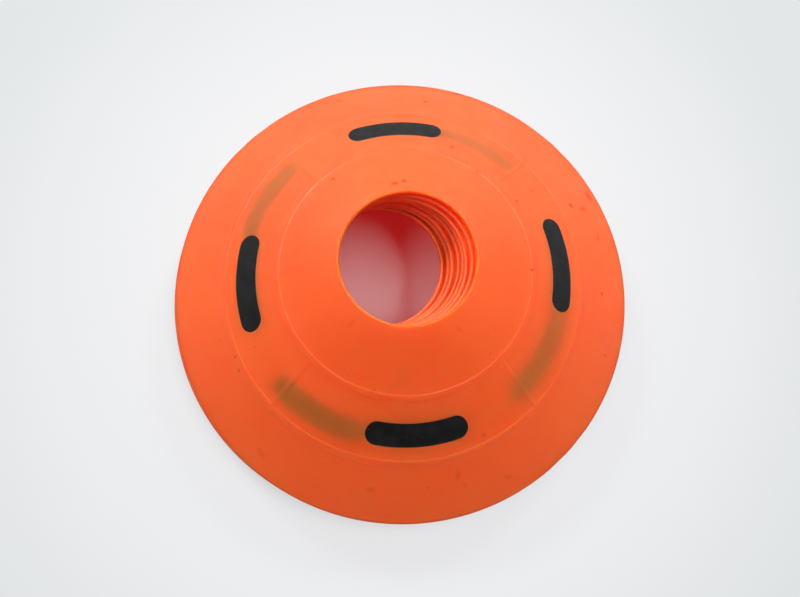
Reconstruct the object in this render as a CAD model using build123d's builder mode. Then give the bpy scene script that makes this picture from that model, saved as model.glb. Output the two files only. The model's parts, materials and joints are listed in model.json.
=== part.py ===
from build123d import *
from math import atan, atan2, cos, hypot, sin, tan
import os

# A nested stack of soft disc marker cones. Each cone is one moulded piece: a shallow, slightly
# domed skirt with a round hole at the top, and a frame of raised rings and spokes on its outside.
# Millimetres, +Z up. The origin is on the ground, in the middle of the stack's footprint.

# The moulded cone
rim_diameter = 200.0
hole_diameter = 50.0
skirt_height = 50.0  # ground to the hole's upper corner, before that corner is rounded
wall = 1.8  # thickness, square to the skirt
crown = 0.9  # how far the skirt bulges past a straight line from rim to hole
rim_edge = 1.0  # height of the upright edge around the rim
rim_round = 0.4  # rounding where that edge meets the skirt
lip_round = 0.5  # rounding of the hole's upper corner

# The raised frame on the outside of the skirt
inner_ring_diameter = 98.0  # to the ring's inside edge
outer_ring_diameter = 147.0  # to the ring's inside edge
ring_width = 3.0
raised_height = 0.25  # square to the skirt
spoke_count = 4
spoke_width = 2.4
first_spoke_angle = 45.0

# The stack, counted from the ground up
nest_gap = 0.3  # least upright gap between one cone and the next
lean_steps = [
    # how far each cone has slid sideways, in X and Y, from the one it sits on
    (2.2, -0.6),
    (1.1, -0.6),
    (2.1, -0.5),
    (1.1, -1.0),
    (0.7, -1.0),
    (1.7, -0.1),
    (1.5, -0.2),
]
cone_turns = [62.0, 17.0, 78.0, 8.0, 51.0, 26.0, -35.0, 0.0]  # degrees about each cone's own axis

# Sizes that follow from those
rim_radius = rim_diameter / 2
hole_radius = hole_diameter / 2
chord_run = rim_radius - hole_radius
chord_rise = skirt_height - rim_edge
chord = hypot(chord_run, chord_rise)
chord_slope = atan2(chord_rise, chord_run)
steepest_slope = chord_slope + 2 * atan(2 * crown / chord)  # where the domed skirt meets the rim
wall_rise = wall / cos(chord_slope)  # the wall measured straight up
raised_rise = raised_height / cos(chord_slope)
outer_ring_edge = outer_ring_diameter / 2 + ring_width


def skirt_curve(lift):
    """The skirt's outside line from rim to hole, raised by lift."""
    middle_radius = rim_radius - chord_run / 2 + crown * sin(chord_slope)
    middle_height = rim_edge + chord_rise / 2 + crown * cos(chord_slope)
    return ThreePointArc(
        (rim_radius, rim_edge + lift),
        (middle_radius, middle_height + lift),
        (hole_radius, skirt_height + lift),
    )


def skirt_layer(low, high):
    """A face between two copies of the skirt's outside line."""
    with BuildLine() as outline:
        lower = skirt_curve(low)
        upper = skirt_curve(high)
        Line(lower @ 0, upper @ 0)
        Line(lower @ 1, upper @ 1)
    make_face(outline.edges())


def keep_radii(inside, outside):
    """Keeps what lies between two radii of the profile being drawn."""
    tall = 4 * skirt_height
    with Locations(((inside + outside) / 2, 0)):
        Rectangle(outside - inside, tall, mode=Mode.INTERSECT)


# The spokes, cut from a raised layer that follows the skirt
with BuildPart() as spokes:
    with BuildSketch(Plane.XZ):
        skirt_layer(-wall_rise / 2, raised_rise)
        keep_radii(inner_ring_diameter / 2 + ring_width / 2, outer_ring_edge - ring_width / 2)
    revolve(axis=Axis.Z)
    with BuildSketch(Plane.XY):
        with PolarLocations(rim_radius / 2, spoke_count, start_angle=first_spoke_angle):
            Rectangle(rim_radius, spoke_width)
    extrude(amount=2 * skirt_height, mode=Mode.INTERSECT)

# The moulded cone, standing on the ground about the Z axis
with BuildPart() as cone:
    with BuildSketch(Plane.XZ):
        skirt_layer(-wall_rise, 0)
        with Locations((rim_radius, 0)):
            Rectangle(2 * rim_radius, wall_rise, align=(Align.CENTER, Align.MAX), mode=Mode.SUBTRACT)
    revolve(axis=Axis.Z)
    hole_wall, rim_wall = cone.faces().filter_by(GeomType.CYLINDER).sort_by(SortBy.RADIUS)
    fillet(hole_wall.edges().filter_by(GeomType.CIRCLE).sort_by(Axis.Z)[-1], lip_round)
    fillet(rim_wall.edges().filter_by(GeomType.CIRCLE).sort_by(Axis.Z)[-1], rim_round)
    for ring_diameter in (inner_ring_diameter, outer_ring_diameter):
        with BuildSketch(Plane.XZ):
            skirt_layer(-wall_rise / 2, raised_rise)
            keep_radii(ring_diameter / 2, ring_diameter / 2 + ring_width)
        revolve(axis=Axis.Z)
    add(spokes.part)


def stack_seats():
    """Where each cone's rim plane sits. A cone that slides sideways rides up the slope below it."""
    seats = [(0.0, 0.0, 0.0)]
    for step_x, step_y in lean_steps:
        x, y, z = seats[-1]
        ride_up = hypot(step_x, step_y) * tan(steepest_slope)
        seats.append((x + step_x, y + step_y, z + wall_rise + raised_rise + nest_gap + ride_up))
    middle_x = (min(seat[0] for seat in seats) + max(seat[0] for seat in seats)) / 2
    middle_y = (min(seat[1] for seat in seats) + max(seat[1] for seat in seats)) / 2
    return [(x - middle_x, y - middle_y, z) for x, y, z in seats]


os.makedirs("parts", exist_ok=True)
for number, (seat, turn) in enumerate(zip(stack_seats(), cone_turns), start=1):
    with BuildPart() as marker_cone:
        with Locations(Location(seat, (0, 0, turn))):
            add(cone.part)
    marker_cone.part.label = f"marker_cone_{number}"
    export_step(marker_cone.part, f"parts/marker_cone_{number}.step")
    print(f"marker_cone_{number} seat", [round(value, 3) for value in seat])
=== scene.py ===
import json
import math

import bmesh
import bpy
import numpy as np
from mathutils import Matrix, Vector


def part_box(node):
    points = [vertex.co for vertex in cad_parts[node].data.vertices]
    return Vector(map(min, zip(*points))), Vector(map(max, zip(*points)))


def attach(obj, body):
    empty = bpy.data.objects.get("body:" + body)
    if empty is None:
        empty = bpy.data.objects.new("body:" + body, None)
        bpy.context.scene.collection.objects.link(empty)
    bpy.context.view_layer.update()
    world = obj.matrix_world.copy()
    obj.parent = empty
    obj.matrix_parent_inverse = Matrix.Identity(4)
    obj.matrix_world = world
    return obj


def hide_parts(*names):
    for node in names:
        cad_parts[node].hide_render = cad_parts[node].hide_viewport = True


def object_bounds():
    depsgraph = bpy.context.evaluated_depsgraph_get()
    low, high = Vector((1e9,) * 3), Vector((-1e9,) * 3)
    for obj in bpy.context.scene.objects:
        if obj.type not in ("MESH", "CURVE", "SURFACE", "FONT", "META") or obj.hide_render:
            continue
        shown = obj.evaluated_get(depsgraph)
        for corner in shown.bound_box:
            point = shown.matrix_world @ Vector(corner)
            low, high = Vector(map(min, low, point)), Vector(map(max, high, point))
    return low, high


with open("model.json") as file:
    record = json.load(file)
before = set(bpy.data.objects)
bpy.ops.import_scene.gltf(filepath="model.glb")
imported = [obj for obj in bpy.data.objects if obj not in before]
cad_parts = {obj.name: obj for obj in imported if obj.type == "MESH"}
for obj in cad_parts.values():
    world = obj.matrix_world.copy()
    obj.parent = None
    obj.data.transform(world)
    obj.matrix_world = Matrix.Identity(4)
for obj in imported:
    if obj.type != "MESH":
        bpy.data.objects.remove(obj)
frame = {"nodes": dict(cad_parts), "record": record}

cad_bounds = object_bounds()

# A nested stack of soft disc marker cones, dressed. Metres, +Z up, in the frame of the solids.
# Each cone is rebuilt as a finer mesh of the same moulding, with soft edges, and carries a thin print.

MM = 0.001
CONE_COUNT = len(frame["nodes"])

# The moulding, with the sizes that the frame doesn't state
SKIRT_HEIGHT = 50.0 * MM  # ground to the hole's upper corner before rounding
WALL = 1.8 * MM
CROWN = 0.9 * MM
RIM_EDGE = 1.0 * MM
RIM_ROUND = 0.5 * MM
RIM_FLAT = 1.2 * MM  # how far from the rim the skirt begins to level out
RIM_LIFT = 0.40 * MM  # and how far that leaves the rim above the plain skirt
LIP_ROUND = 0.8 * MM
LIP_UNDER_ROUND = 0.35 * MM
CONE_TURNS = [62.0, 17.0, 78.0, 8.0, 51.0, 26.0, -35.0, 0.0]  # degrees, from the ground up

# The raised frame of rings and spokes
RING_INSIDES = (49.0 * MM, 73.5 * MM)
RING_WIDTH = 3.0 * MM
RAISED = 0.18 * MM
SOFT_EDGE = 0.6 * MM  # how far a raised edge takes to rise
SPOKE_ANGLES = (45.0, 135.0, 225.0, 315.0)
SPOKE_WIDTH = 2.4 * MM

# The print: one plain dash with round ends in each quarter
DASH_ANGLES = (4.0, 94.0, 184.0, 274.0)
DASH_RADIUS = 64.0 * MM
DASH_LENGTH = 40.0 * MM
DASH_WIDTH = 9.0 * MM
INK_ABOVE = 0.04 * MM
INK_BELOW = 0.02 * MM

# How finely the meshes are drawn
COLUMN_STEP = 1.5  # degrees between columns away from the spokes
SPOKE_CLEAR = 6.5  # degrees on each side of a spoke that its own columns take
SKIN_STEP = 2.5 * MM
UNDERSIDE_STEP = 5.0 * MM
FOOT_STEP = 0.01 * MM  # how closely the foot of the underside is found
EDGE_ROWS = 4
ROUND_STEPS = 6
DASH_ROWS = 48
DASH_COLUMNS = 8
WELD = 0.001 * MM
SHARP_ANGLE = 40.0  # degrees between faces that makes an edge look sharp

# How far a used hole edge is out of round, and how wide a band follows it
HOLE_WOBBLE = 0.22 * MM
HOLE_WOBBLE_BAND = 7.0 * MM

# The camera, from the perspective of the rim, rings and hole of the top cone
IMAGE_WIDTH = 800
IMAGE_HEIGHT = 597
FOCAL_PIXELS = 572.5
SENSOR_WIDTH = 36.0
CAMERA_PLACE = Vector((-4.28, -60.05, 277.51)) * MM
CAMERA_TILT = 12.12  # degrees away from straight down
CAMERA_HEADING = 8.79  # degrees from +Y towards +X that the tilt leans to
CAMERA_NEAREST = 2.0 * MM
PLACE_STEPS = 30  # halvings that find where a pixel meets the skirt

# Light
LAMPS = {
    # name: direction it stands in, distance, size in X and Y, power
    "lamp_left": ((-0.42, 0.58, 0.70), 0.85, 0.20, 0.20, 3.5),
    "lamp_right": ((0.40, 0.59, 0.70), 0.85, 0.20, 0.20, 3.2),
    "lamp_over_left": ((-0.338, 0.0, 1.0), 0.90, 0.11, 0.56, 2.0),
    "lamp_over_right": ((0.288, 0.0, 1.0), 0.90, 0.11, 0.56, 2.9),
}
SKY_BEHIND = 0.55  # towards +Y
SKY_FRONT = 0.06  # towards -Y, where the camera stands
SKY_TURN = (-0.7, 0.7)  # where along Y the front's tone becomes the one behind
SKY_LOW_BEHIND = 0.55  # near the horizon
SKY_LOW_FRONT = 0.30
SKY_LOW_TURN = (-0.7, 0.3)
SKY_LOW_TOP = (0.10, 0.34)  # where along Z the low sky becomes the high one
BACKDROP = (0.78, 0.80, 0.81, 1.0)  # what stands behind the floor when it is looked at

# The floor, with its tones in rings about the middle: its own tone is painted light, brighter near the
# middle and dimmer further out
FLOOR_SIZE = 8.0
PAPER = (0.60, 0.605, 0.615, 1.0)
PAPER_PALE = (0.63, 0.635, 0.645, 1.0)
PAPER_CLOUDS = 40.0
PAPER_ROUGHNESS = 0.7
PAPER_SHINE = 0.2
# Painted light: the tone the floor gives itself is brighter near the middle than around it
FLOOR_NEAR = (0.87, 0.88, 0.895, 1.0)
FLOOR_AROUND = (0.72, 0.75, 0.76, 1.0)
NEAR_TO_AROUND = (0.10, 0.27)
AROUND_TO_BACKDROP = (0.30, 1.0)
UNDER_TO_OUTSIDE = (0.090, 0.098)  # where the floor comes out from under the stack
SHADOW_TO_OPEN = (0.101, 0.112)
SHADOW_GLOW = 0.55  # share of the floor's tone that is its own in the shadow beside the stack
OPEN_GLOW = 0.78  # the same in the open
FAR_GLOW = 0.22  # and what is added far away
RED_GLOW = (1.0, 0.012, 0.016, 1.0)  # stands for the light that comes through the walls
RED_STRENGTH = 0.29
RED_TO_NONE = (0.075, 0.090)

# The plastic
ORANGE = (0.878, 0.108, 0.011, 1.0)
ORANGE_WARM = (0.878, 0.113, 0.012, 1.0)
ORANGE_DEEP = (0.873, 0.102, 0.010, 1.0)
CLOUDS = 22.0
UNDERSIDE_CLOUDS = 30.0
CLOUD_EDGES = (0.35, 0.68)
SCATTER_RADIUS = (0.9, 0.7, 0.5)  # in millimetres; red light spreads furthest
SCATTER_RADIUS_TOP = (21.0, 1.8, 0.9)  # the top cone, whose wall shows the print below it
THROUGH = (0.990, 0.030, 0.010, 1.0)  # light that comes out on the far side of a face
UNDERSIDE_SHARE = 0.75  # of the light on the underside, how much goes on into the wall
LIP_GLOW_COLOUR = (0.985, 0.135, 0.018, 1.0)  # painted glow: a brighter orange at the hole's edge, for the light that leaves the wall there
LIP_FULL = 0.3 * MM  # how far from the hole's edge that colour is full
LIP_END = 6.0 * MM  # and where it ends
LIP_END_TOP = 2.0 * MM
SHINE = 0.55
LIP_SHINE = 0.12  # on the top cone's worn lip
LIP_SHINE_BAND = (0.4 * MM, 2.5 * MM)
SPOT_DULL = 0.1  # share of the shine that is left on a spot
ROUGHNESS = (0.42, 0.54)
ROUGHNESS_CLOUDS = 60.0
ROUGHNESS_EDGES = (0.3, 0.7)
UNDERSIDE_ROUGHNESS = 0.5
PLASTIC_IOR = 1.5
GRAIN = 900.0
GRAIN_SHARE = 0.25
SWELL = 130.0
BUMP_STRENGTH = 0.05
BUMP_HEIGHT = 0.4 * MM

# Wear on the plastic, and along the rim a darker band that is partly grime and partly painted shade
WEAR_STEP = (0.31, 0.17, 0.05)  # how far the wear is moved along from one cone to the next
GRIME = (0.300, 0.085, 0.040, 1.0)
GRIME_STRENGTH = 0.16
STAINS = 34.0
STAIN_EDGES = (0.60, 0.80)
SCUFF = (0.980, 0.230, 0.090, 1.0)
SCUFF_LINES = ((25.0, 70.0), (-60.0, 85.0))  # direction in degrees and scale
SCUFF_STRENGTH = 0.16
SCUFF_STRETCH = 18.0  # length of a scuff for its width
SCUFF_EDGES = (0.70, 0.78)
SPECK = (0.110, 0.022, 0.008, 1.0)
GRIT = ((240.0, 0.42 * MM, 0.30), (90.0, 0.7 * MM, 0.12))  # scale, largest dot and share of cells
GRIT_STRENGTH = 0.60
DOT_EDGES = (0.5, 1.0)  # where a dot begins to fade and ends, as shares of its radius
SMALLEST_DOT = 0.0001  # keeps the division by a dot's radius safe
# A darker band along the rim: partly grime, partly painted shade of the rim's edge
RIM_GRIME_AND_SHADE = (0.260, 0.060, 0.032, 1.0)
RIM_GRIME_AND_SHADE_BAND = (1.3 * MM, 0.2 * MM)  # how far from the rim it starts and is full
RIM_GRIME_AND_SHADE_STRENGTH = 0.18
RIM_GRIME_AND_SHADE_STRENGTH_TOP = 0.45
RIM_GRIME_AND_SHADE_EDGES = (0.30, 0.60)  # of the clouds that thin it
RIM_GRIME_AND_SHADE_THIN = 0.5
SMUDGE = (0.340, 0.040, 0.008, 1.0)
SPOT_PUSH = 1.6 * MM  # how far a spot's edge is pushed about
SPOT_PUSH_SCALE = 700.0
SPOT_EDGES = (0.3, 1.3)
SPOT_REACH = 10.0  # metres up and down, so that only X and Y count

# Wear that the top cone shows: the pixel of the picture where it lies, its length, width and direction
# in millimetres and degrees, and how strong it is
SPOTS = [
    (395, 183, 3.4, 1.8, 20, 0.80),
    (404, 181, 2.2, 1.6, -40, 0.95),
    (333, 179, 2.0, 1.2, 50, 0.85),
    (477, 172, 2.4, 1.1, -40, 0.85),
    (452, 147, 1.8, 1.4, 0, 0.80),
    (338, 101, 2.2, 1.6, 10, 0.85),
    (425, 102, 2.2, 1.6, 0, 0.80),
    (517, 201, 1.6, 1.4, 0, 1.00),
    (532, 191, 1.6, 1.3, 30, 0.75),
    (571, 206, 3.0, 2.0, -30, 0.75),
    (588, 196, 7.0, 3.4, -60, 0.65),
    (583, 209, 5.0, 3.0, 20, 0.50),
    (598, 238, 5.0, 2.5, 80, 0.35),
    (532, 270, 1.8, 1.4, 0, 0.90),
    (602, 294, 2.0, 1.4, 70, 0.65),
    (605, 355, 1.8, 1.5, 0, 0.50),
    (484, 435, 1.9, 1.5, 0, 0.55),
    (458, 475, 5.0, 2.6, 100, 0.25),
    (508, 477, 3.6, 2.2, 0, 0.18),
    (465, 485, 3.0, 1.8, 130, 0.22),
    (351, 324, 4.5, 2.0, 40, 0.18),
    (459, 329, 3.5, 1.6, -30, 0.18),
    (235, 357, 1.8, 1.4, 0, 0.55),
    (239, 370, 1.6, 1.3, 0, 0.50),
    (373, 391, 2.4, 1.4, 10, 0.30),
    (371, 490, 4.0, 2.2, 0, 0.28),
    (261, 453, 6.0, 3.0, -50, 0.18),
]

# The ink of the print
INK = (0.003, 0.003, 0.0035, 1.0)
INK_GREY = (0.008, 0.008, 0.009, 1.0)
INK_CLOUDS = 160.0
INK_CLOUD_EDGES = (0.35, 0.75)
INK_SCUFF_LINES = ((70.0, 120.0), (-20.0, 95.0))
INK_SCUFF_STRENGTH = 0.10
INK_PITS = (420.0, 0.22 * MM, 0.15)  # scale, largest pit and share of cells
INK_PIT_STRENGTH = 0.4
INK_SHINE = 0.25
INK_ROUGHNESS = (0.38, 0.52)
INK_ROUGHNESS_CLOUDS = 300.0
INK_GRAIN = 1400.0
INK_BUMP_STRENGTH = 0.06
INK_BUMP_HEIGHT = 0.2 * MM


def lowest_and_highest(number):
    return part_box(f"marker_cone_{number}")


def seat_of(number):
    """Middle of a cone's rim plane."""
    low, high = lowest_and_highest(number)
    return Vector(((low.x + high.x) / 2, (low.y + high.y) / 2, low.z))


def mount_radius(name):
    """Radius of a round mount in the record, in metres."""
    found = next(mount for mount in frame["record"]["mounts"] if mount["name"] == name)
    return found["dims"]["r_mm"] * MM


first_low, first_high = lowest_and_highest(1)
RIM_RADIUS = (first_high.x - first_low.x) / 2
HOLE_RADIUS = mount_radius("top_hole")

chord_run = RIM_RADIUS - HOLE_RADIUS
chord_rise = SKIRT_HEIGHT - RIM_EDGE
chord_slope = math.atan2(chord_rise, chord_run)
dome_radius = (chord_run**2 + chord_rise**2) / (8 * CROWN) + CROWN / 2
dome_r = (RIM_RADIUS + HOLE_RADIUS) / 2 - (dome_radius - CROWN) * math.sin(chord_slope)
dome_z = (RIM_EDGE + SKIRT_HEIGHT) / 2 - (dome_radius - CROWN) * math.cos(chord_slope)
wall_rise = WALL / math.cos(chord_slope)


def skin_height(radius):
    """Height of the skirt's outside above the rim plane."""
    return dome_z + np.sqrt(dome_radius**2 - (radius - dome_r) ** 2)


def camera_axes():
    """The camera's directions ahead, up and to the right."""
    tilt = math.radians(CAMERA_TILT)
    heading = math.radians(CAMERA_HEADING)
    level = math.sin(tilt)
    ahead = Vector((level * math.sin(heading), level * math.cos(heading), -math.cos(tilt)))
    up = Vector((0, 1, 0))
    up = (up - ahead * up.dot(ahead)).normalized()
    return ahead, up, ahead.cross(up)


def place_on_skirt(pixel_x, pixel_y):
    """Where a pixel of the picture meets the top cone's skirt, from the middle of its rim plane."""
    ahead, up, right = camera_axes()
    sideways = right * (pixel_x - IMAGE_WIDTH / 2) - up * (pixel_y - IMAGE_HEIGHT / 2)
    ray = ahead + sideways / FOCAL_PIXELS
    start = CAMERA_PLACE - seat_of(CONE_COUNT)
    above = 0.0
    below = -start.z / ray.z
    for _ in range(PLACE_STEPS):
        middle = (above + below) / 2
        point = start + ray * middle
        if point.z > skin_height(np.clip(point.xy.length, HOLE_RADIUS, RIM_RADIUS)):
            above = middle
        else:
            below = middle
    return start + ray * above


def smooth(low, high, value):
    t = np.clip((value - low) / (high - low), 0.0, 1.0)
    return t * t * (3.0 - 2.0 * t)


def raised_share(distance, half_width):
    """1 on top of a raised band, 0 beside it, with a soft edge inside its width."""
    return 1.0 - smooth(half_width - SOFT_EDGE, half_width, np.abs(distance))


def round_corner(before, corner, after, radius):
    """Points of an arc that rounds the corner between two straight lines."""
    corner = np.array(corner)
    to_before = np.array(before) - corner
    to_after = np.array(after) - corner
    to_before /= np.linalg.norm(to_before)
    to_after /= np.linalg.norm(to_after)
    half = math.acos(float(to_before @ to_after)) / 2
    middle = to_before + to_after
    middle /= np.linalg.norm(middle)
    centre = corner + middle * radius / math.sin(half)
    start = corner + to_before * radius / math.tan(half) - centre
    end = corner + to_after * radius / math.tan(half) - centre
    sweep = math.pi - 2 * half
    share = np.linspace(0.0, 1.0, ROUND_STEPS)[:, None]
    return centre + (np.sin((1 - share) * sweep) * start + np.sin(share * sweep) * end) / math.sin(sweep)


def skin_radii(outside, inside):
    """Radii of the rows on the skirt's outside, from rim to hole, closer at the raised edges."""
    radii = list(np.arange(outside, inside, -SKIN_STEP))
    for ring in RING_INSIDES:
        for edge in (ring, ring + RING_WIDTH - SOFT_EDGE):
            radii = [r for r in radii if not edge - SKIN_STEP / 3 < r < edge + SOFT_EDGE + SKIN_STEP / 3]
            radii += list(np.linspace(edge, edge + SOFT_EDGE, EDGE_ROWS + 1))
    return sorted(radii, reverse=True)


def cone_profile():
    """Rows of the moulding as radius, height and side: its raised outside, an edge or the underside."""
    hole_top = (HOLE_RADIUS, SKIRT_HEIGHT)
    hole_bottom = (HOLE_RADIUS, SKIRT_HEIGHT - wall_rise)
    near_hole = HOLE_RADIUS + SKIN_STEP
    near_rim = RIM_RADIUS - RIM_FLAT
    rim_top = (RIM_RADIUS, RIM_EDGE + RIM_LIFT)
    rim_arc = round_corner((RIM_RADIUS, 0), rim_top, (near_rim, skin_height(near_rim)), RIM_ROUND)
    lip_arc = round_corner((near_hole, skin_height(near_hole)), hole_top, hole_bottom, LIP_ROUND)
    under_arc = round_corner(
        hole_top, hole_bottom, (near_hole, skin_height(near_hole) - wall_rise), LIP_UNDER_ROUND
    )
    foot = RIM_RADIUS
    while skin_height(foot) < wall_rise:
        foot -= FOOT_STEP
    under_radii = np.arange(near_hole, foot, UNDERSIDE_STEP)
    rows = [(RIM_RADIUS, 0.0, "edge")]
    rows += [(r, z, "edge") for r, z in rim_arc]
    rows += [(r, skin_height(r), "outside") for r in skin_radii(near_rim, near_hole - SKIN_STEP / 3)]
    rows += [(r, z, "edge") for r, z in lip_arc]
    rows += [(r, z, "edge") for r, z in under_arc]
    rows += [(r, skin_height(r) - wall_rise, "underside") for r in under_radii]
    rows += [(foot, 0.0, "underside")]
    return rows


def cone_columns():
    """Columns as a direction in degrees and a sideways distance, so that a spoke keeps its width."""
    half = SPOKE_WIDTH / 2
    edges = list(np.linspace(half - SOFT_EDGE, half, EDGE_ROWS + 1)) + [half + SOFT_EDGE]
    sideways = [-d for d in reversed(edges)] + [0.0] + edges
    between = 360.0 / len(SPOKE_ANGLES) - 2 * SPOKE_CLEAR
    steps = round(between / COLUMN_STEP)
    columns = []
    for spoke in SPOKE_ANGLES:
        columns += [(spoke, d, True) for d in sideways]
        columns += [(spoke + SPOKE_CLEAR + between * k / steps, 0.0, False) for k in range(steps + 1)]
    return columns


def hole_wobble(angles, rng):
    """How far out of round a hole is, as a few slow waves around it."""
    waves = [(rng.uniform(-1, 1) / turns, turns, rng.uniform(0, math.tau)) for turns in (2, 3, 4, 5)]
    wobble = sum(size * np.sin(turns * angles + phase) for size, turns, phase in waves)
    return HOLE_WOBBLE * np.clip(wobble, -1.0, 1.0)


def closed_grid(name, points, close_rows):
    """A mesh from rows of points whose columns close on themselves."""
    rows, columns, _ = points.shape
    index = np.arange(rows * columns).reshape(rows, columns)
    beside = np.roll(index, -1, axis=1)
    last = rows if close_rows else rows - 1
    next_row = np.roll(index, -1, axis=0)
    next_beside = np.roll(beside, -1, axis=0)
    corners = [index[:last], beside[:last], next_beside[:last], next_row[:last]]
    faces = np.stack(corners, axis=-1).reshape(-1, 4)
    mesh = bpy.data.meshes.new(name)
    mesh.from_pydata(points.reshape(-1, 3).tolist(), [], faces.tolist())
    return mesh


def shade(mesh):
    """Smooth shading that keeps the sharp edges."""
    mesh.shade_smooth()
    mesh.set_sharp_from_angle(angle=math.radians(SHARP_ANGLE))


def cone_mesh(number):
    """One cone about its own axis, with its rim plane at height 0."""
    rng = np.random.RandomState(number)
    profile = cone_profile()
    columns = cone_columns()
    radius = np.array([row[0] for row in profile])[:, None]
    height = np.array([row[1] for row in profile])[:, None]
    outside = np.array([row[2] == "outside" for row in profile])[:, None]
    heading = np.radians([column[0] for column in columns])[None, :]
    sideways = np.array([column[1] for column in columns])[None, :]
    on_spoke = np.array([column[2] for column in columns])[None, :]
    angle = heading + np.arcsin(sideways / radius)

    raised = np.zeros_like(angle)
    for ring in RING_INSIDES:
        raised = np.maximum(raised, raised_share(radius - ring - RING_WIDTH / 2, RING_WIDTH / 2))
    between_rings = (radius > RING_INSIDES[0]) & (radius < RING_INSIDES[1] + RING_WIDTH)
    spoke = np.where(on_spoke & between_rings, raised_share(sideways, SPOKE_WIDTH / 2), 0.0)
    raised = np.where(outside, np.maximum(raised, spoke), 0.0)

    share = 1.0 - smooth(HOLE_RADIUS, HOLE_RADIUS + HOLE_WOBBLE_BAND, radius)
    shift = hole_wobble(angle, rng) * share
    final_radius = radius + shift
    final_height = height + raised * RAISED / math.cos(chord_slope) - shift * math.tan(chord_slope)
    points = np.stack(
        [final_radius * np.cos(angle), final_radius * np.sin(angle), final_height], axis=-1
    )
    mesh = closed_grid(f"cone_{number}", points, close_rows=True)
    slots = np.repeat([row[2] == "underside" for row in profile], len(columns)).astype(np.int32)
    mesh.polygons.foreach_set("material_index", slots)
    shade(mesh)
    return mesh


def dash_points(centre_angle):
    """A thin dash with round ends, laid on the skirt along an arc."""
    half_length = DASH_LENGTH / 2
    half_width = DASH_WIDTH / 2
    along = half_length * np.sin(np.linspace(-math.pi / 2, math.pi / 2, DASH_ROWS))[:, None]
    past = np.clip(np.abs(along) - (half_length - half_width), 0.0, half_width)
    width = np.sqrt(np.clip(half_width**2 - past**2, 0.0, None))
    across = np.linspace(-1.0, 1.0, DASH_COLUMNS)
    across = np.concatenate([across, across[::-1]])[None, :]
    above = np.repeat([INK_ABOVE, -INK_BELOW], DASH_COLUMNS)[None, :]
    radius = DASH_RADIUS - across * width
    angle = math.radians(centre_angle) + along / DASH_RADIUS
    height = skin_height(radius) + above
    return np.stack([radius * np.cos(angle), radius * np.sin(angle), height], axis=-1)


def print_mesh(number):
    """The four dashes of one cone, as thin closed shells."""
    shells = bmesh.new()
    for centre_angle in DASH_ANGLES:
        part = closed_grid("dash", dash_points(centre_angle), close_rows=False)
        shells.from_mesh(part)
        bpy.data.meshes.remove(part)
    bmesh.ops.remove_doubles(shells, verts=shells.verts, dist=WELD)
    bmesh.ops.recalc_face_normals(shells, faces=shells.faces)
    mesh = bpy.data.meshes.new(f"print_{number}")
    shells.to_mesh(mesh)
    shells.free()
    shade(mesh)
    return mesh


def node(tree, kind, inputs=None, **settings):
    """A shader node with its settings, and its inputs set or linked."""
    made = tree.nodes.new(kind)
    for name, value in settings.items():
        setattr(made, name, value)
    for name, value in (inputs or {}).items():
        if isinstance(value, bpy.types.NodeSocket):
            tree.links.new(value, made.inputs[name])
        else:
            made.inputs[name].default_value = value
    return made


def noise(tree, vector, scale, detail=3.0, roughness=0.5, distortion=0.0):
    inputs = {
        "Vector": vector,
        "Scale": scale,
        "Detail": detail,
        "Roughness": roughness,
        "Distortion": distortion,
    }
    return node(tree, "ShaderNodeTexNoise", inputs).outputs["Fac"]


def ramp(tree, value, low, high, to_low=0.0, to_high=1.0):
    inputs = {"Value": value, "From Min": low, "From Max": high, "To Min": to_low, "To Max": to_high}
    return node(tree, "ShaderNodeMapRange", inputs, interpolation_type="SMOOTHSTEP").outputs["Result"]


def maths(tree, operation, first, second):
    return node(tree, "ShaderNodeMath", {0: first, 1: second}, operation=operation).outputs[0]


def largest(tree, *values):
    found = values[0]
    for value in values[1:]:
        found = maths(tree, "MAXIMUM", found, value)
    return found


def vector_maths(tree, operation, output, *values):
    made = node(tree, "ShaderNodeVectorMath", dict(enumerate(values)), operation=operation)
    return made.outputs[output]


def mix_colour(tree, factor, first, second):
    """Colour node from first, at factor 0, to second, at factor 1."""
    made = node(tree, "ShaderNodeMix", {0: factor, 6: first, 7: second}, data_type="RGBA")
    return made.outputs[2]


def mix_shader(tree, factor, first, second):
    return node(tree, "ShaderNodeMixShader", {0: factor, 1: first, 2: second}).outputs[0]


def object_place(tree):
    """Coordinates in the object's own frame."""
    return node(tree, "ShaderNodeTexCoord").outputs["Object"]


def new_material(name):
    material = bpy.data.materials.new(name)
    material.use_nodes = True
    tree = material.node_tree
    return material, tree, tree.nodes["Principled BSDF"]


def shifted_place(tree, number):
    """Coordinates on the cone itself, moved along so that no two cones wear alike."""
    inputs = {"Vector": object_place(tree), "Location": tuple(step * number for step in WEAR_STEP)}
    return node(tree, "ShaderNodeMapping", inputs).outputs["Vector"]


def specks(tree, vector, scale, largest_dot, kept):
    """Small dots, where a share of scattered points lie close to the surface."""
    cells = node(tree, "ShaderNodeTexVoronoi", {"Vector": vector, "Scale": scale})
    chance = node(tree, "ShaderNodeSeparateColor", {"Color": cells.outputs["Color"]}).outputs["Red"]
    inputs = {
        "Value": chance,
        "From Min": 0.0,
        "From Max": kept,
        "To Min": largest_dot * scale,
        "To Max": 0.0,
    }
    size = node(tree, "ShaderNodeMapRange", inputs).outputs["Result"]
    size = maths(tree, "MAXIMUM", size, SMALLEST_DOT)
    nearness = maths(tree, "DIVIDE", cells.outputs["Distance"], size)
    return ramp(tree, nearness, *DOT_EDGES, 1.0, 0.0)


def scratches(tree, vector, angle, scale):
    """Fine straight scuffs that run one way."""
    inputs = {
        "Vector": vector,
        "Rotation": (0.0, 0.0, math.radians(angle)),
        "Scale": (1.0, SCUFF_STRETCH, 1.0),
    }
    turned = node(tree, "ShaderNodeMapping", inputs).outputs["Vector"]
    lines = noise(tree, turned, scale, detail=2.0, roughness=0.6)
    return ramp(tree, lines, *SCUFF_EDGES)


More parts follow.
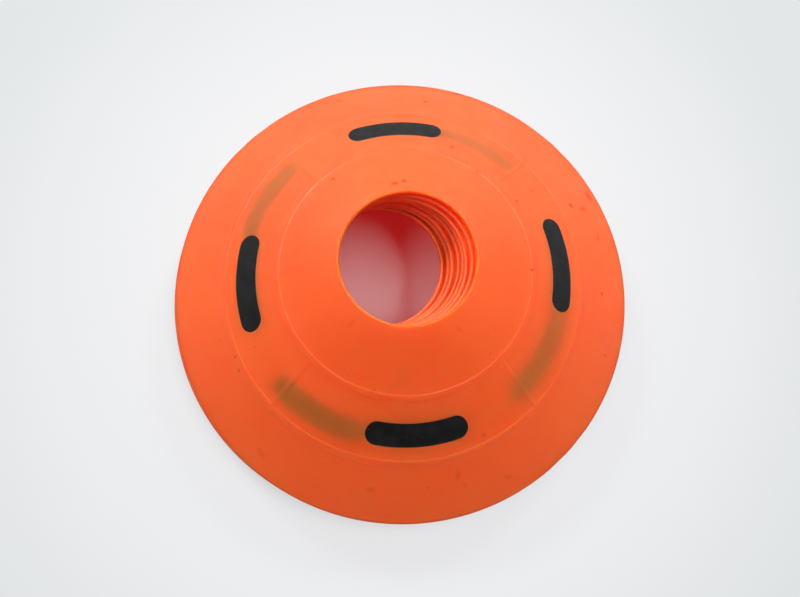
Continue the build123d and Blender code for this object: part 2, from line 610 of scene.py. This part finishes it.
def spots(tree):
    """The listed spots, each a soft uneven blot."""
    own = object_place(tree)
    inputs = {"Vector": own, "Scale": SPOT_PUSH_SCALE, "Detail": 2.0}
    uneven = node(tree, "ShaderNodeTexNoise", inputs).outputs["Color"]
    pushed = vector_maths(tree, "MULTIPLY_ADD", "Vector", uneven, (SPOT_PUSH,) * 3, own)
    found = 0.0
    for pixel_x, pixel_y, length, width, angle, strength in SPOTS:
        place = place_on_skirt(pixel_x, pixel_y)
        inputs = {
            "Vector": pushed,
            "Location": (place.x + SPOT_PUSH / 2, place.y + SPOT_PUSH / 2, 0.0),
            "Rotation": (0.0, 0.0, math.radians(angle)),
            "Scale": (length / 2 * MM, width / 2 * MM, SPOT_REACH),
        }
        near = node(tree, "ShaderNodeMapping", inputs, vector_type="TEXTURE").outputs["Vector"]
        away = vector_maths(tree, "LENGTH", "Value", near)
        found = maths(tree, "MAXIMUM", found, ramp(tree, away, *SPOT_EDGES, strength, 0.0))
    return found


def add_bump(tree, shader, texture, strength, height):
    bump = node(tree, "ShaderNodeBump", {"Strength": strength, "Distance": height, "Height": texture})
    tree.links.new(bump.outputs["Normal"], shader.inputs["Normal"])


def let_through(tree, front):
    """Ends a material: front outside, and on the inside of the wall a shader that passes light on."""
    inside = node(tree, "ShaderNodeNewGeometry").outputs["Backfacing"]
    passing = node(tree, "ShaderNodeBsdfTranslucent", {"Color": THROUGH}).outputs[0]
    wall = mix_shader(tree, inside, front, passing)
    tree.links.new(wall, tree.nodes["Material Output"].inputs["Surface"])


def plastic(number):
    """Soft orange polyethylene, a little translucent, scuffed and specked by use, darkened along the rim
    by grime and painted shade, and with a painted glow at the hole's edge.
    """
    material, tree, shader = new_material(f"orange_plastic_{number}")
    top = number == CONE_COUNT
    vector = shifted_place(tree, number)
    flat = vector_maths(tree, "MULTIPLY", "Vector", object_place(tree), (1.0, 1.0, 0.0))
    radius = vector_maths(tree, "LENGTH", "Value", flat)

    cloud = noise(tree, vector, CLOUDS, detail=4.0)
    colour = mix_colour(tree, ramp(tree, cloud, *CLOUD_EDGES), ORANGE_DEEP, ORANGE_WARM)
    stains = noise(tree, vector, STAINS, detail=5.0, roughness=0.62, distortion=0.4)
    grime = maths(tree, "MULTIPLY", ramp(tree, stains, *STAIN_EDGES), GRIME_STRENGTH)
    colour = mix_colour(tree, grime, colour, GRIME)
    scuffs = largest(tree, *(scratches(tree, vector, *line) for line in SCUFF_LINES))
    colour = mix_colour(tree, maths(tree, "MULTIPLY", scuffs, SCUFF_STRENGTH), colour, SCUFF)
    grit = largest(tree, *(specks(tree, vector, *dots) for dots in GRIT))
    colour = mix_colour(tree, maths(tree, "MULTIPLY", grit, GRIT_STRENGTH), colour, SPECK)
    if top:
        soiled = spots(tree)
        colour = mix_colour(tree, soiled, colour, SMUDGE)
    # A darker band along the rim, partly grime and partly painted shade of the rim's edge
    rim_start, rim_full = (RIM_RADIUS - distance for distance in RIM_GRIME_AND_SHADE_BAND)
    rim_strength = RIM_GRIME_AND_SHADE_STRENGTH_TOP if top else RIM_GRIME_AND_SHADE_STRENGTH
    rim = ramp(tree, radius, rim_start, rim_full, 0.0, rim_strength)
    rim = maths(tree, "MULTIPLY", rim, ramp(tree, cloud, *RIM_GRIME_AND_SHADE_EDGES, RIM_GRIME_AND_SHADE_THIN, 1.0))
    colour = mix_colour(tree, rim, colour, RIM_GRIME_AND_SHADE)
    # Painted glow: a brighter orange near the hole's edge, for light that leaves the wall there
    lip_end = HOLE_RADIUS + (LIP_END_TOP if top else LIP_END)
    lip = ramp(tree, radius, HOLE_RADIUS + LIP_FULL, lip_end, 1.0, 0.0)
    colour = mix_colour(tree, lip, colour, LIP_GLOW_COLOUR)
    tree.links.new(colour, shader.inputs["Base Color"])

    shader.inputs["Subsurface Weight"].default_value = 1.0
    shader.inputs["Subsurface Radius"].default_value = SCATTER_RADIUS_TOP if top else SCATTER_RADIUS
    shader.inputs["Subsurface Scale"].default_value = MM
    shader.inputs["IOR"].default_value = PLASTIC_IOR
    shader.inputs["Specular IOR Level"].default_value = SHINE
    if top:
        dull_end, shiny_start = (HOLE_RADIUS + distance for distance in LIP_SHINE_BAND)
        shine = ramp(tree, radius, dull_end, shiny_start, LIP_SHINE, SHINE)
        shine = maths(tree, "MULTIPLY", shine, ramp(tree, soiled, 0.0, 1.0, 1.0, SPOT_DULL))
        tree.links.new(shine, shader.inputs["Specular IOR Level"])
    uneven = noise(tree, vector, ROUGHNESS_CLOUDS, detail=4.0)
    matt = ramp(tree, uneven, *ROUGHNESS_EDGES, *ROUGHNESS)
    tree.links.new(matt, shader.inputs["Roughness"])
    grain = maths(tree, "MULTIPLY", noise(tree, vector, GRAIN), GRAIN_SHARE)
    texture = maths(tree, "ADD", grain, noise(tree, vector, SWELL, detail=2.0))
    add_bump(tree, shader, texture, BUMP_STRENGTH, BUMP_HEIGHT)
    let_through(tree, shader.outputs[0])
    return material


def underside():
    """The same plastic on the inside of a skirt, where light from the cone below goes into the wall."""
    material, tree, shader = new_material("orange_plastic_underside")
    cloud = noise(tree, object_place(tree), UNDERSIDE_CLOUDS, detail=4.0)
    colour = mix_colour(tree, ramp(tree, cloud, *CLOUD_EDGES), ORANGE_DEEP, ORANGE_WARM)
    tree.links.new(colour, shader.inputs["Base Color"])
    shader.inputs["Roughness"].default_value = UNDERSIDE_ROUGHNESS
    through = node(tree, "ShaderNodeBsdfTranslucent", {"Color": THROUGH}).outputs[0]
    let_through(tree, mix_shader(tree, UNDERSIDE_SHARE, shader.outputs[0], through))
    return material


def ink():
    """Thin black screen print, rubbed through in hairlines."""
    material, tree, shader = new_material("black_print")
    own = object_place(tree)
    cloud = noise(tree, own, INK_CLOUDS, detail=4.0)
    colour = mix_colour(tree, ramp(tree, cloud, *INK_CLOUD_EDGES), INK, INK_GREY)
    worn = largest(tree, *(scratches(tree, own, *line) for line in INK_SCUFF_LINES))
    colour = mix_colour(tree, maths(tree, "MULTIPLY", worn, INK_SCUFF_STRENGTH), colour, ORANGE_DEEP)
    pits = specks(tree, own, *INK_PITS)
    colour = mix_colour(tree, maths(tree, "MULTIPLY", pits, INK_PIT_STRENGTH), colour, ORANGE)
    tree.links.new(colour, shader.inputs["Base Color"])
    shader.inputs["Specular IOR Level"].default_value = INK_SHINE
    uneven = noise(tree, own, INK_ROUGHNESS_CLOUDS)
    matt = ramp(tree, uneven, *ROUGHNESS_EDGES, *INK_ROUGHNESS)
    tree.links.new(matt, shader.inputs["Roughness"])
    add_bump(tree, shader, noise(tree, own, INK_GRAIN), INK_BUMP_STRENGTH, INK_BUMP_HEIGHT)
    return material


def add_object(name, mesh, *materials):
    for material in materials:
        mesh.materials.append(material)
    made = bpy.data.objects.new(name, mesh)
    bpy.context.scene.collection.objects.link(made)
    return made


def add_cones():
    black = ink()
    inner = underside()
    for number in range(1, CONE_COUNT + 1):
        turn = Matrix.Rotation(math.radians(CONE_TURNS[number - 1]), 4, "Z")
        cone = add_object(f"cone_{number}_skirt", cone_mesh(number), plastic(number), inner)
        marks = add_object(f"cone_{number}_print", print_mesh(number), black)
        for piece in (cone, marks):
            piece.data.transform(turn)
            piece.location = seat_of(number)
            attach(piece, f"cone_{number}")
        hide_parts(f"marker_cone_{number}")


def floor_material():
    """Pale paper that, when looked at, gives part of its tone itself, so that its shadow is faint.

    It fades into the backdrop far away, and has a weak red light of its own under the stack.
    """
    material, tree, shader = new_material("pale_floor")
    own = object_place(tree)
    away = vector_maths(tree, "LENGTH", "Value", own)
    paper = mix_colour(tree, noise(tree, own, PAPER_CLOUDS, detail=4.0), PAPER, PAPER_PALE)
    tree.links.new(paper, shader.inputs["Base Color"])
    shader.inputs["Roughness"].default_value = PAPER_ROUGHNESS
    shader.inputs["Specular IOR Level"].default_value = PAPER_SHINE

    # Painted light: the floor's own tone is brighter near the middle and dimmer further out
    pale = mix_colour(tree, ramp(tree, away, *NEAR_TO_AROUND), FLOOR_NEAR, FLOOR_AROUND)
    pale = mix_colour(tree, ramp(tree, away, *AROUND_TO_BACKDROP), pale, BACKDROP)
    glow = node(tree, "ShaderNodeEmission", {"Color": pale, "Strength": 1.0}).outputs[0]
    rays = node(tree, "ShaderNodeLightPath").outputs
    seen = largest(tree, rays["Is Camera Ray"], rays["Is Glossy Ray"], rays["Is Transmission Ray"])
    in_shadow = ramp(tree, away, *SHADOW_TO_OPEN, SHADOW_GLOW, OPEN_GLOW)
    share = maths(tree, "MULTIPLY", ramp(tree, away, *UNDER_TO_OUTSIDE), in_shadow)
    share = maths(tree, "ADD", share, ramp(tree, away, *AROUND_TO_BACKDROP, 0.0, FAR_GLOW))
    open_floor = mix_shader(tree, maths(tree, "MULTIPLY", seen, share), shader.outputs[0], glow)

    strength = ramp(tree, away, *RED_TO_NONE, RED_STRENGTH, 0.0)
    red = node(tree, "ShaderNodeEmission", {"Color": RED_GLOW, "Strength": strength}).outputs[0]
    both = node(tree, "ShaderNodeAddShader", {0: open_floor, 1: red}).outputs[0]
    tree.links.new(both, tree.nodes["Material Output"].inputs["Surface"])
    return material


def add_floor():
    mesh = bpy.data.meshes.new("floor")
    half = FLOOR_SIZE / 2
    corners = [(-half, -half, 0), (half, -half, 0), (half, half, 0), (-half, half, 0)]
    mesh.from_pydata(corners, [], [(0, 1, 2, 3)])
    add_object("floor", mesh, floor_material())


def add_lamps():
    """Two soft lamps behind the object, and two narrow ones overhead that look down the hole."""
    target = Vector((0.0, 0.0, cad_bounds[1].z / 2))
    for name, (direction, distance, width, length, power) in LAMPS.items():
        towards = Vector(direction).normalized()
        lamp = bpy.data.lights.new(name, "AREA")
        lamp.shape = "ELLIPSE"
        lamp.size = width
        lamp.size_y = length
        lamp.energy = power
        made = bpy.data.objects.new(name, lamp)
        across = (Vector((1, 0, 0)) - towards * towards.x).normalized()
        turn = Matrix((across, towards.cross(across), towards)).transposed().to_4x4()
        made.matrix_world = Matrix.Translation(target + towards * distance) @ turn
        made.visible_camera = False
        bpy.context.scene.collection.objects.link(made)


def grey(tone):
    return (tone, tone, tone, 1.0)


def add_sky():
    """Even studio light, brighter behind the object and dim where the camera stands."""
    world = bpy.data.worlds.new("studio")
    bpy.context.scene.world = world
    world.use_nodes = True
    tree = world.node_tree
    direction = node(tree, "ShaderNodeTexCoord").outputs["Generated"]
    parts = node(tree, "ShaderNodeSeparateXYZ", {0: direction}).outputs
    behind = ramp(tree, parts["Y"], *SKY_TURN)
    high = mix_colour(tree, behind, grey(SKY_FRONT), grey(SKY_BEHIND))
    low_behind = ramp(tree, parts["Y"], *SKY_LOW_TURN)
    low = mix_colour(tree, low_behind, grey(SKY_LOW_FRONT), grey(SKY_LOW_BEHIND))
    colour = mix_colour(tree, ramp(tree, parts["Z"], *SKY_LOW_TOP), low, high)
    sky = tree.nodes["Background"]
    tree.links.new(colour, sky.inputs["Color"])
    looked_at = node(tree, "ShaderNodeLightPath").outputs["Is Camera Ray"]
    backdrop = node(tree, "ShaderNodeBackground", {"Color": BACKDROP}).outputs[0]
    both = mix_shader(tree, looked_at, sky.outputs[0], backdrop)
    tree.links.new(both, tree.nodes["World Output"].inputs["Surface"])


def add_camera():
    ahead, up, right = camera_axes()
    data = bpy.data.cameras.new("camera")
    data.sensor_fit = "HORIZONTAL"
    data.sensor_width = SENSOR_WIDTH
    data.lens = FOCAL_PIXELS * SENSOR_WIDTH / IMAGE_WIDTH
    data.clip_start = CAMERA_NEAREST
    camera = bpy.data.objects.new("camera", data)
    turn = Matrix((right, up, -ahead)).transposed().to_4x4()
    camera.matrix_world = Matrix.Translation(CAMERA_PLACE) @ turn
    bpy.context.scene.collection.objects.link(camera)
    bpy.context.scene.camera = camera


add_cones()
add_floor()
add_lamps()
add_sky()
add_camera()
bpy.context.scene.view_settings.view_transform = "Standard"
